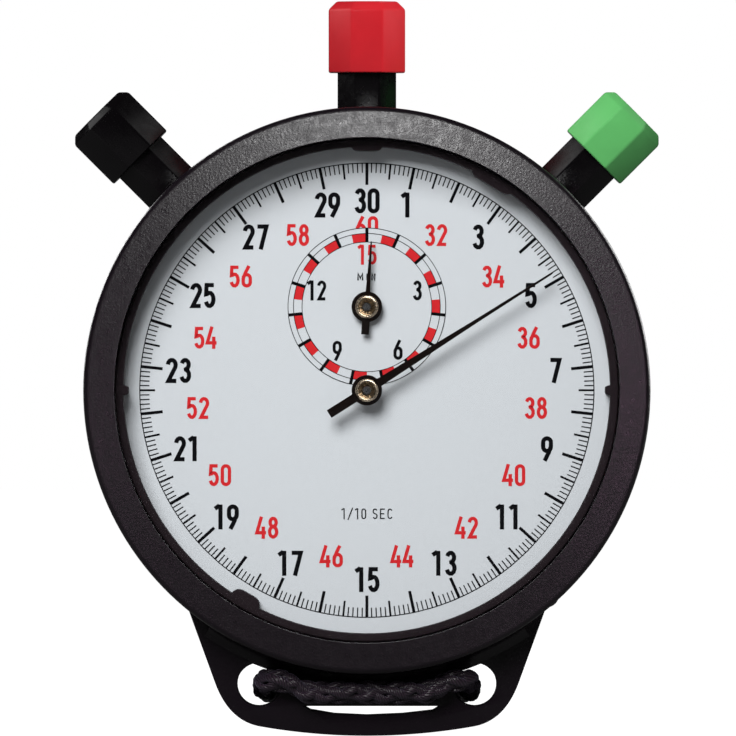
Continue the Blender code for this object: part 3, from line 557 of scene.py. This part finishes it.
def letter(bm, text, centre, height, weight, y, pitch=0.5, widen=1.0):
    """Prints upright characters centred on a point of the dial."""
    wide = height * widen
    first = centre[0] - (pitch * (len(text) - 1) / 2.0 + GLYPH_MIDDLE) * wide
    bottom = centre[1] - height / 2.0
    for n, sign in enumerate(text):
        left = first + pitch * n * wide
        for k, (line, closed) in enumerate(glyph(sign)):
            points = [(left + x * wide, bottom + z * height) for x, z in line]
            flat_stroke(bm, points, weight * height, y - 0.003 * k, closed)


def tick(bm, angle, inner, outer, width, y, centre=(0.0, 0.0)):
    flat_stroke(bm, [clockwise(angle, inner, centre), clockwise(angle, outer, centre)], width, y)


def circle(bm, radius, width, y, centre=(0.0, 0.0), count=160):
    flat_stroke(bm, arc(0.0, 360.0 - 360.0 / count, radius, count, centre), width, y, closed=True)


def build_scale(materials):
    """The outer scale: thirty seconds round the dial, in tenths."""
    bm = bmesh.new()
    circle(bm, SCALE_R, 0.10, PRINT_Y, count=240)
    for i in range(300):
        inner, width = 21.13, 0.115
        if i % 10 == 0:
            inner, width = 19.95, 0.29
        elif i % 5 == 0:
            inner, width = 20.57, 0.19
        tick(bm, 1.2 * i, inner, SCALE_R, width, PRINT_Y - 0.003)
    piece("dial_scale", shape(bm), "case", materials["black_ink"])


def build_numerals(materials):
    """Black seconds of the first turn, red ones of the second, the minutes and the two unit labels."""
    bm = bmesh.new()
    for value in [30] + list(range(1, 30, 2)):
        letter(bm, str(value), clockwise(12.0 * value, 18.4), 2.42, 0.17, PRINT_Y, 0.5, 1.08)
    for value, angle in ((3, 72.0), (6, 144.0), (9, 214.0), (12, 288.0)):
        letter(bm, str(value), clockwise(angle, 5.15, MINUTE), 1.95, 0.155, MINUTE_PRINT_Y, 0.5, 1.05)
    letter(bm, "MIN", (0.0, MINUTE[1] + 2.9), 0.66, 0.24, MINUTE_PRINT_Y, 0.84, 1.15)
    letter(bm, "1/10", (-1.28, -12.0), 1.08, 0.11, PRINT_Y, 0.54, 1.12)
    letter(bm, "SEC", (1.52, -12.0), 1.08, 0.11, PRINT_Y, 0.56, 1.2)
    piece("dial_numerals_black", shape(bm), "case", materials["black_ink"])
    bm = bmesh.new()
    for value in range(32, 60, 2):
        letter(bm, str(value), clockwise(12.0 * (value - 30), 16.5), 2.15, 0.155, PRINT_Y, 0.5, 1.1)
    letter(bm, "60", (0.0, 15.85), 2.15, 0.155, PRINT_Y, 0.5, 1.1)
    letter(bm, "15", clockwise(0.0, 5.07, MINUTE), 1.95, 0.15, MINUTE_PRINT_Y, 0.5, 1.05)
    piece("dial_numerals_red", shape(bm), "case", materials["red_ink"])


def build_minute_dial(materials):
    """The fifteen-minute sub-dial, printed over the foot of the red sixty."""
    field = disc(MINUTE, MINUTE_RING_R, DIAL_Y - 0.03, DIAL_Y - 0.01, 96)
    for centre in (MINUTE, SWEEP):
        field = cut(field, disc(centre, ARBOR_HOLE_R, DIAL_Y - 1.0, DIAL_Y + 1.0))
    piece("minute_dial_field", field, "case", materials["dial_paint"])
    bm = bmesh.new()
    for radius in (MINUTE_RING_INNER_R, 7.13):
        circle(bm, radius, 0.07, MINUTE_PRINT_Y, MINUTE)
    # The outer circle stops on both sides of the sweep arbor's hole, under the hub.
    flat_stroke(bm, arc(-84.2, 264.2, MINUTE_RING_R, 160, MINUTE), 0.07, MINUTE_PRINT_Y)
    for i in range(15):
        tick(bm, 24.0 * i, MINUTE_RING_INNER_R, MINUTE_RING_R, 0.3, MINUTE_PRINT_Y - 0.004, MINUTE)
    piece("minute_scale_black", shape(bm), "case", materials["black_ink"])
    bm = bmesh.new()
    for i in range(15):
        start = 90.0 - 24.0 * i - 12.0
        flat_stroke(bm, arc(start, start - 12.0, 6.715, 8, MINUTE), 0.76, MINUTE_PRINT_Y + 0.008)
    piece("minute_scale_red", shape(bm), "case", materials["red_ink"])


def build_dial(materials):
    """The dial plate with its two arbor holes, and everything printed on it."""
    back_y, edge = DIAL_Y + 0.4, 0.05
    profile = [(0.0, DIAL_Y), (DIAL_R - edge, DIAL_Y), (DIAL_R, DIAL_Y + edge)]
    dial = about_y(profile + [(DIAL_R, back_y), (0.0, back_y)], segments=128)
    for centre in (SWEEP, MINUTE):
        dial = cut(dial, disc(centre, ARBOR_HOLE_R, DIAL_Y - 1.0, back_y + 0.4))
    piece("dial_plate", dial, "case", materials["dial_paint"], ["dial"])
    build_scale(materials)
    build_numerals(materials)
    build_minute_dial(materials)


# ---------------------------------------------------------------- case

def foot_outline():
    """Wings from the round case, rounded lower corners and a shallow arc along the bottom."""
    inside_r, wing_angle = 26.4, 48.9
    high, corner, low = Vector((14.77, -28.38)), Vector((13.44, -32.05)), Vector((10.5, -32.64))
    sole_r, sole_centre_z = 60.0, 26.43
    right = [polar(-wing_angle, inside_r), (17.7, -20.3)]
    for i in range(15):
        t = i / 14.0
        point = high * (1.0 - t) ** 2 + corner * 2.0 * t * (1.0 - t) + low * t * t
        right.append((point.x, point.y))
    for i in range(1, 11):
        x = low.x * (1.0 - i / 10.0)
        right.append((x, sole_centre_z - math.sqrt(sole_r ** 2 - x * x)))
    left = [(-x, z) for x, z in reversed(right[:-1])]
    return right + left + arc(wing_angle - 180.0, -wing_angle, inside_r, 41)[1:-1]


def build_case_body(materials):
    """The round case with its sloping bezel, crisp inner edge and three button wells."""
    round_r, slope_y = 0.55, FRONT_Y + 0.85
    outer = [(CASE_R - 0.3, CASE_BACK_Y), (CASE_R, CASE_BACK_Y - 0.3), (CASE_R, slope_y)]
    outer += arc(6.0, -84.0, round_r, 8, (CASE_R - round_r, slope_y))
    rim, edge = outer[-1], (BEZEL_R + 0.03, FRONT_Y)
    # Extra rings close to both edges keep the bezel's shading flat between them.
    for share in (0.04, 0.5, 0.985):
        outer.append((rim[0] + (edge[0] - rim[0]) * share, rim[1] + (edge[1] - rim[1]) * share))
    inner = [edge, (BEZEL_R + 0.009, FRONT_Y + 0.009), (BEZEL_R, FRONT_Y + 0.03)]
    seat_r, seat_y = 26.4, -1.65
    inner += [(BEZEL_R, SHELF_Y), (BORE_R, SHELF_Y), (BORE_R, seat_y), (seat_r, seat_y)]
    inner += [(seat_r, CASE_BACK_Y)]
    case = about_y(outer + inner, segments=180)
    well_r, well_start, well_end = 3.2, 24.3, 29.0
    well = [(0.0, well_start), (well_r, well_start), (well_r, well_end), (0.0, well_end)]
    for angle in (CROWN, START, RESET):
        case = cut(case, button_part(well, angle, 48))
    piece("case_body", case, "case", materials["case_black"], ["front_case"])


def build_foot(materials):
    """The foot with its two cord holes and the long slot under the cord."""
    foot = prism(foot_outline(), FOOT_BACK_Y, FOOT_FRONT_Y)
    for side in (-1.0, 1.0):
        hole = (side * CORD_HOLE[0], CORD_HOLE[1])
        foot = cut(foot, disc(hole, CORD_HOLE_R, FOOT_FRONT_Y - 1.0, FOOT_BACK_Y + 1.0, 40))
    slot = [(-6.15, -30.68), (6.9, -30.68), (6.85, -30.85), (6.4, -31.12), (3.5, -31.45), (0.0, -31.6),
            (-3.2, -31.45), (-5.5, -31.05)]
    foot = cut(foot, prism(slot, FOOT_FRONT_Y - 1.0, FOOT_BACK_Y + 1.0))
    foot = bevel(foot, 0.55, 4, 50.0)
    # A concave sweep joins the foot's front to the round case.
    hollow_r, hollow = 1.3, (28.78, -14.28)
    inside_r, inside_y = 27.0, -12.5
    profile = [(inside_r, inside_y), (inside_r, hollow[1])]
    profile += arc(180.0, 90.0, hollow_r, 7, hollow) + [(hollow[0], inside_y)]
    foot = merged([foot, swept_profile(profile, 213.5, 146.5, 60)])
    piece("case_foot", foot, "case", materials["case_black"], ["front_case"], 40.0)


def opening_tab():
    """The small rounded tab on the cover's edge, for prising it off."""
    angle, half_width, reach, inwards = 138.75, 0.95, 0.94, 0.95
    middle, away, across = clockwise(angle, 26.9), clockwise(angle, 1.0), clockwise(angle + 90.0, 1.0)
    outline = []
    for i in range(17):
        turn = math.pi * i / 16.0
        out, aside = reach * math.sin(turn) ** 0.7, half_width * math.cos(turn)
        outline.append(tuple(middle[k] + away[k] * out + across[k] * aside for k in (0, 1)))
    for x, z in (outline[-1], outline[0]):
        outline.append((x * inwards, z * inwards))
    return bevel(prism(outline, -1.18, -0.08), 0.15, 2, 40.0)


def build_rear(materials):
    """The pressed cover with its raised ring and inner skirt, the opening tab and the gasket."""
    pressed_y = -0.12
    raised = [(0.0, pressed_y), (17.4, pressed_y), (17.6, 0.0), (21.8, 0.0), (22.0, pressed_y)]
    edge = [(24.0, pressed_y), (24.2, 0.0), (26.5, 0.0), (26.8, -0.06), (27.1, -0.3), (27.2, -0.6)]
    skirt = [(27.2, -1.2), (25.0, -1.2), (25.0, -2.9), (23.6, -2.9), (23.6, -1.2), (0.0, -1.2)]
    cover = merged([about_y(raised + edge + skirt, segments=144), opening_tab()])
    piece("rear_cover_pressed", cover, "case", materials["gloss_black"], ["rear_cover"])
    gasket = about_y([(25.4, -1.34), (25.5, -1.28), (26.2, -1.28), (26.3, -1.34),
                      (26.3, -1.56), (26.2, -1.62), (25.5, -1.62), (25.4, -1.56)])
    piece("cover_gasket_ring", gasket, "case", materials["rubber"], ["cover_gasket"])


def lug_depth(angle):
    """How far the ring's lugs reach inwards, at an angle clockwise from the top."""
    # Each lug: its angle, half its width and its depth
    lugs = ((0.0, 1.45, 0.4), (30.9, 2.15, 0.44), (90.0, 0.5, 0.5), (210.0, 1.5, 0.8), (270.0, 0.5, 0.5))
    for middle, half_width, depth in lugs:
        away = abs((angle - middle + 180.0) % 360.0 - 180.0)
        away = math.radians(away) * RING_R / half_width
        if away < 1.0:
            return depth * math.sqrt(1.0 - away ** 4)
    return 0.0


def build_dial_ring(materials):
    """The dark ring between bezel and dial, with its lugs and softened edges."""
    outer_r, back_y, steps = 24.4, -12.95, 1440
    bm = bmesh.new()
    loops = []
    for i in range(steps):
        angle = 360.0 * i / steps
        inner_r = RING_R - lug_depth(angle)
        section = [(inner_r, back_y), (inner_r, RING_FRONT_Y + 0.15), (inner_r + 0.05, RING_FRONT_Y + 0.04),
                   (inner_r + 0.15, RING_FRONT_Y), (outer_r - 0.1, RING_FRONT_Y),
                   (outer_r, RING_FRONT_Y + 0.1), (outer_r, back_y)]
        loops.append(loop_about_y(bm, section, angle))
    skin(bm, loops, closed=True)
    piece("dial_ring_lugged", shape(bm), "case", materials["ring_black"], ["dial_ring"])


def build_crystal(materials):
    """A shallow dome of clear plastic, just in front of the dial ring."""
    dome_r, top_y, sag = 23.9, -17.85, 0.5
    profile = [(0.0, -16.2), (24.4, -16.2), (24.4, -17.0), (24.25, -17.2)]
    for i in range(15):
        share = 1.0 - i / 14.0
        profile.append((dome_r * share, top_y + sag * share ** 2))
    crystal = about_y(profile, segments=128)
    piece("crystal_domed", crystal, "case", materials["glass"], ["crystal"], 60.0)


# ---------------------------------------------------------------- buttons

def build_cap(name, angle, sizes, body, material, node):
    """An octagonal cap. Sizes are its inner and outer ends, its width across flats and its chamfer."""
    inner, outer, across, chamfer = sizes
    full, end = octagon_radius(across), octagon_radius(across - 2.0 * chamfer)
    pocket, pocket_end = octagon_radius(5.8), 35.5
    profile = [(0.0, outer), (end, outer), (full, outer - chamfer), (full, inner), (pocket, inner),
               (pocket, pocket_end), (0.0, pocket_end)]
    cap = bevel(button_part(profile, angle, 8, math.pi / 8.0), 0.18, 3, 25.0)
    piece(name, cap, body, material, [node], 25.0)


def build_stem(name, angle, body, material, node):
    """An octagonal stem, bored for the rod inside it."""
    outside, bore, start, end, bore_end = octagon_radius(5.7), 0.72, 26.3, 35.4, 31.6
    profile = [(outside, start), (outside, end), (0.0, end), (0.0, bore_end), (bore, bore_end), (bore, start)]
    stem = bevel(button_part(profile, angle, 8, math.pi / 8.0), 0.14, 3, 25.0)
    piece(name, stem, body, material, [node], 25.0)


def build_buttons(materials):
    crown_sizes, side_sizes = (30.9, 37.85, 7.45, 0.8), (31.2, 37.2, 7.35, 0.7)
    for button, angle, body, sizes, colour, slot in (
        ("crown", CROWN, "crown", crown_sizes, "red", "red"),
        ("start", START, "start_button", side_sizes, "green", "green"),
        ("reset", RESET, "reset_button", side_sizes, "black", "gloss_black"),
    ):
        build_cap(f"{button}_cap_{colour}", angle, sizes, body, materials[slot], f"{button}_cap")
        build_stem(f"{button}_stem_octagon", angle, body, materials["gloss_black"], f"{button}_stem")


# ---------------------------------------------------------------- hands

def hand_outline(tail, tail_width, hub_r, hub_width, middle, middle_width, tip, tip_width):
    """A hand that points up: a square tail, a round hub and a blade that narrows twice."""
    top = math.degrees(math.asin(hub_width / 2.0 / hub_r))
    bottom = math.degrees(math.asin(tail_width / 2.0 / hub_r))
    right = [(tip_width * 0.2, tip), (tip_width / 2.0, tip - 0.2), (middle_width / 2.0, middle)]
    right += arc(90.0 - top, bottom - 90.0, hub_r, 25) + [(tail_width / 2.0, -tail)]
    return right + [(-x, z) for x, z in reversed(right)]


def build_hand(name, outline, angle, centre, front_y, body, materials, node, bush_node):
    """The blade turned to its angle, and the domed brass bush that holds it."""
    turn = math.radians(angle)
    cos, sin = math.cos(turn), math.sin(turn)
    placed = [(centre[0] + x * cos + z * sin, centre[1] - x * sin + z * cos) for x, z in outline]
    blade = cut(prism(placed, front_y, front_y + 0.25), disc(centre, 0.98, front_y - 1.0, front_y + 1.0))
    blade = bevel(blade, 0.045, 2, 40.0)
    piece(name, blade, body, materials["hand_lacquer"], [node])
    top, seat, end = front_y - 0.4, front_y - 0.04, front_y + 0.6
    recess = [(0.42, top + 0.62), (0.48, top + 0.50), (0.56, top + 0.40), (0.74, top + 0.20)]
    dome = [(0.82, top + 0.06), (0.88, top + 0.01), (0.93, top), (1.02, top + 0.02), (1.09, top + 0.08),
            (1.13, top + 0.19)]
    neck = [(1.13, seat), (0.88, seat), (0.88, end), (0.42, end)]
    bush = about_y(recess + dome + neck, centre, 64)
    piece(f"{name}_bush_turned", bush, body, materials["brass"], [bush_node])


def build_pin(name, centre, front_y, body, material):
    """The polished end of a hand arbor, seen in the recess of its bush."""
    profile = [(0.0, front_y), (0.09, front_y + 0.02), (0.17, front_y + 0.08), (0.22, front_y + 0.2),
               (0.22, -12.9), (0.0, -12.9)]
    piece(name, about_y(profile, centre, 40), body, material)


def build_hands(materials):
    """The sweep second hand and the minute counter's hand, and the arbor ends in their bushes."""
    second = hand_outline(4.34, 0.87, 1.48, 0.82, 12.5, 0.37, 21.4, 0.20)
    minute = hand_outline(2.7, 0.75, 1.49, 0.44, 4.0, 0.29, 6.4, 0.15)
    build_hand("sweep_second_hand", second, SECOND_ANGLE, SWEEP, SECOND_HAND_Y, "sweep", materials,
               "second_hand", "second_hand_bush")
    build_hand("minute_counter_hand", minute, MINUTE_ANGLE, MINUTE, MINUTE_HAND_Y, "minute", materials,
               "minute_hand", "minute_hand_bush")
    build_pin("sweep_pin_end", SWEEP, -15.05, "sweep", materials["steel"])
    build_pin("minute_pin_end", MINUTE, -13.90, "minute", materials["steel"])


# ---------------------------------------------------------------- cord

def cord_path():
    """The cord's centre line from the ferrule, through one hole, across the foot and back."""
    hole_x, front_y, high_z = 9.95, -14.35, -28.2
    curve = 1.5
    turn_x = hole_x - curve
    right = [(1.6, CORD_BACK_Y, CORD_LOW_Z), (turn_x, CORD_BACK_Y, CORD_LOW_Z)]
    for i in range(1, 8):
        turn = math.pi * i / 14.0
        y = CORD_BACK_Y - curve + curve * math.cos(turn)
        right.append((turn_x + curve * math.sin(turn), y, CORD_LOW_Z))
    right.append((hole_x, -9.0, (CORD_LOW_Z + high_z) / 2.0))
    for i in range(8):
        turn = math.pi * i / 14.0
        y = front_y + curve - curve * math.sin(turn)
        right.append((turn_x + curve * math.cos(turn), y, high_z))
    for i in range(1, 11):
        share = i / 10.0
        rise = 0.5 + 0.5 * math.cos(math.pi * share)
        right.append((turn_x - 3.0 * share, front_y, CORD_LOW_Z + (high_z - CORD_LOW_Z) * rise))
    path = right + [(0.0, front_y, CORD_LOW_Z)] + [(-x, y, z) for x, y, z in reversed(right)]
    return [Vector(p) for p in path]


def resampled(path, step):
    """Points at equal distances along a path."""
    found = [path[0].copy()]
    ahead = step
    for first, second in zip(path, path[1:]):
        length = (second - first).length
        while ahead <= length:
            found.append(first.lerp(second, ahead / length))
            ahead += step
        ahead -= length
    return found


def direction(points, i):
    """The direction of a path at one of its points, from the points beside it."""
    return (points[min(i + 1, len(points) - 1)] - points[max(i - 1, 0)]).normalized()


def braid_strand(path, way, k):
    """One strand's (point, outward direction) list, winding one way round the cord and weaving in and out."""
    lead, ride_r, weave, offset = 11.6, 0.70, 0.20, 0.4
    up = Vector((0.0, 0.0, 1.0))
    centres = []
    for i, point in enumerate(path):
        side = direction(path, i).cross(up).normalized()
        turns = BRAID_STEP * i / lead
        angle = TAU * (way * turns + k / 4.0) + (offset if way > 0.0 else 0.0)
        over = way * math.cos(4.0 * TAU * turns + math.pi * k)
        out = side * math.cos(angle) + up * math.sin(angle)
        centres.append((point + out * (ride_r + weave * over), out))
    return centres


def add_strand(bm, uv, centres, radius, sides=8):
    """One flattened strand, wider round the cord than it is deep, with a UV map along its length."""
    points = [point for point, _ in centres]
    loops = []
    for i, (point, out) in enumerate(centres):
        along = direction(points, i)
        wide = along.cross(out).normalized()
        deep = wide.cross(along).normalized()
        loop = []
        for k in range(sides):
            turn = TAU * k / sides
            offset = wide * math.cos(turn) * radius * 1.25 + deep * math.sin(turn) * radius * 0.8
            loop.append(bm.verts.new(point + offset))
        loops.append(loop)
    bm.faces.new(loops[0])
    bm.faces.new(loops[-1])
    for i, (one, two) in enumerate(zip(loops, loops[1:])):
        for k in range(sides):
            j = (k + 1) % sides
            face = bm.faces.new((one[k], one[j], two[j], two[k]))
            marks = ((i, k), (i, k + 1), (i + 1, k + 1), (i + 1, k))
            for corner, (u, v) in zip(face.loops, marks):
                corner[uv].uv = (BRAID_STEP * u, v / sides)


def build_cord(materials):
    """A round braid: four strands each way round the cord, passing over and under each other."""
    path = resampled(cord_path(), BRAID_STEP)
    bm = bmesh.new()
    uv = bm.loops.layers.uv.new("UVMap")
    for way in (-1.0, 1.0):
        for k in range(4):
            add_strand(bm, uv, braid_strand(path, way, k), 0.36)
    piece("lanyard_braid", shape(bm), "case", materials["cord"], ["lanyard_cord"], 80.0)


def build_ferrule(materials):
    """The crimped sleeve that joins the cord's ends behind the foot."""
    crest, groove = 1.45, 1.3
    half = [(crest, 0.3), (groove, 0.45), (groove, 0.75), (crest, 0.9), (crest, 1.5), (1.42, 1.7)]
    half += [(groove, 1.8), (0.0, 1.8)]
    profile = [(radius, -along) for radius, along in reversed(half)] + half
    ferrule = turned(profile, (0.0, CORD_BACK_Y, CORD_LOW_Z), (1.0, 0.0, 0.0), 48)
    piece("cord_ferrule_crimped", ferrule, "case", materials["gloss_black"], ["cord_ferrule"])


# ---------------------------------------------------------------- studio

def build_floor():
    """A wide pale floor, just under the foot."""
    bm = bmesh.new()
    bmesh.ops.create_grid(bm, x_segments=8, y_segments=8, size=4000.0)
    floor = shape(bm, recalculate=False)
    floor.data.transform(Matrix.Translation((0.0, 0.0, FOOT_LOW_Z - 0.05)))
    floor.data.transform(Matrix.Scale(MM, 4))
    floor.name = "studio_floor"
    floor.data.materials.append(studio_floor())


def build_lamps():
    """First the lamps for matt light, then those seen only as reflections on the pieces they name."""
    case, crown, cover, cord = ["case_body"], ["crown_cap_red"], ["rear_cover_pressed"], ["lanyard_braid"]
    add_light("key", (-160.0, -530.0, 360.0), 340.0, 5.8, glossy=False)
    add_light("top", (-60.0, -60.0, 600.0), 240.0, 0.3, glossy=False)
    add_light("rear", (200.0, 500.0, 300.0), 300.0, 3.5, glossy=False)
    add_light("red_fill", (400.0, -60.0, 80.0), 160.0, 1.5, glossy=False, only=crown)
    add_light("bezel_above", (10.0, -376.0, 137.0), 60.0, 0.68, diffuse=False, only=case)
    add_light("bezel_left", (-130.0, -376.0, -42.0), 60.0, 0.075, diffuse=False, only=case, tint=PINK)
    add_light("bezel_right", (136.0, -376.0, -10.0), 60.0, 0.08, diffuse=False, only=case, tint=PINK)
    add_light("side_left", (-380.0, -40.0, 220.0), 300.0, 0.7, diffuse=False, only=BUTTON_PIECES)
    add_light("side_right", (380.0, -40.0, 220.0), 300.0, 0.24, diffuse=False, only=BUTTON_PIECES)
    add_light("hub_gloss", (60.0, -300.0, 160.0), 160.0, 1.0, diffuse=False, only=HUB_PIECES)
    add_light("cord_gloss", (-80.0, -330.0, 130.0), 50.0, 0.55, diffuse=False, only=cord)
    add_light("behind_left", (-340.0, 420.0, 200.0), 300.0, 2.6, diffuse=False, only=SHELL_PIECES)
    add_light("behind_right", (420.0, 240.0, 160.0), 260.0, 2.6, diffuse=False, only=SHELL_PIECES)
    add_light("behind_above", (60.0, 300.0, 480.0), 220.0, 2.4, diffuse=False, only=cover)


def add_light(name, place, size, power, diffuse=True, glossy=True, only=(), tint=(1.0, 1.0, 1.0)):
    """A soft square lamp aimed at the watch. If only holds piece names, it lights just those."""
    data = bpy.data.lights.new(name, "AREA")
    data.size = size * MM
    data.energy = power
    data.color = tint
    lamp = bpy.data.objects.new(name, data)
    lamp.location = Vector(place) * MM
    lamp.rotation_mode = "QUATERNION"
    lamp.rotation_quaternion = (-Vector(place)).to_track_quat("-Z", "Y")
    lamp.visible_diffuse = diffuse
    lamp.visible_glossy = glossy
    bpy.context.scene.collection.objects.link(lamp)
    if only:
        lit = bpy.data.collections.new(name)
        for piece_name in only:
            lit.objects.link(bpy.data.objects[piece_name])
        lamp.light_linking.receiver_collection = lit


def build_world():
    """White where the camera looks, and dim as a light."""
    world = bpy.data.worlds.new("studio")
    world.use_nodes = True
    bpy.context.scene.world = world
    tree = world.node_tree
    back = tree.nodes["Background"]
    back.inputs["Color"].default_value = (1.0, 1.0, 1.0, 1.0)
    link(tree, by_ray(tree, 1.0, 0.14, 0.012), back.inputs["Strength"])


def build_camera():
    """A long lens straight in front, as in the photograph."""
    distance, width_seen, sensor = 2000.0, 71.5, 36.0
    data = bpy.data.cameras.new("camera")
    data.sensor_width = sensor
    data.lens = sensor * distance / width_seen
    data.clip_start = 0.05
    data.clip_end = 30.0
    camera = bpy.data.objects.new("camera", data)
    camera.location = Vector((0.11, DIAL_Y - distance, 2.16)) * MM
    camera.rotation_euler = (math.radians(90.0), 0.0, 0.0)
    bpy.context.scene.collection.objects.link(camera)
    bpy.context.scene.camera = camera
    bpy.context.scene.view_settings.view_transform = "Standard"


def dress_cad_nodes(frame, materials):
    """Gives every CAD piece the material of its slot; the replaced ones stay hidden."""
    slots = {entry["node"]: entry["material_slot"] for entry in frame["record"]["subparts"]}
    for node, obj in frame["nodes"].items():
        obj.data.materials.clear()
        obj.data.materials.append(materials[slots[node]])


def build_all():
    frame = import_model()
    materials = make_materials()
    dress_cad_nodes(frame, materials)
    build_case_body(materials)
    build_foot(materials)
    build_rear(materials)
    build_dial(materials)
    build_dial_ring(materials)
    build_crystal(materials)
    build_buttons(materials)
    build_hands(materials)
    build_cord(materials)
    build_ferrule(materials)
    build_floor()
    build_lamps()
    build_world()
    build_camera()


build_all()
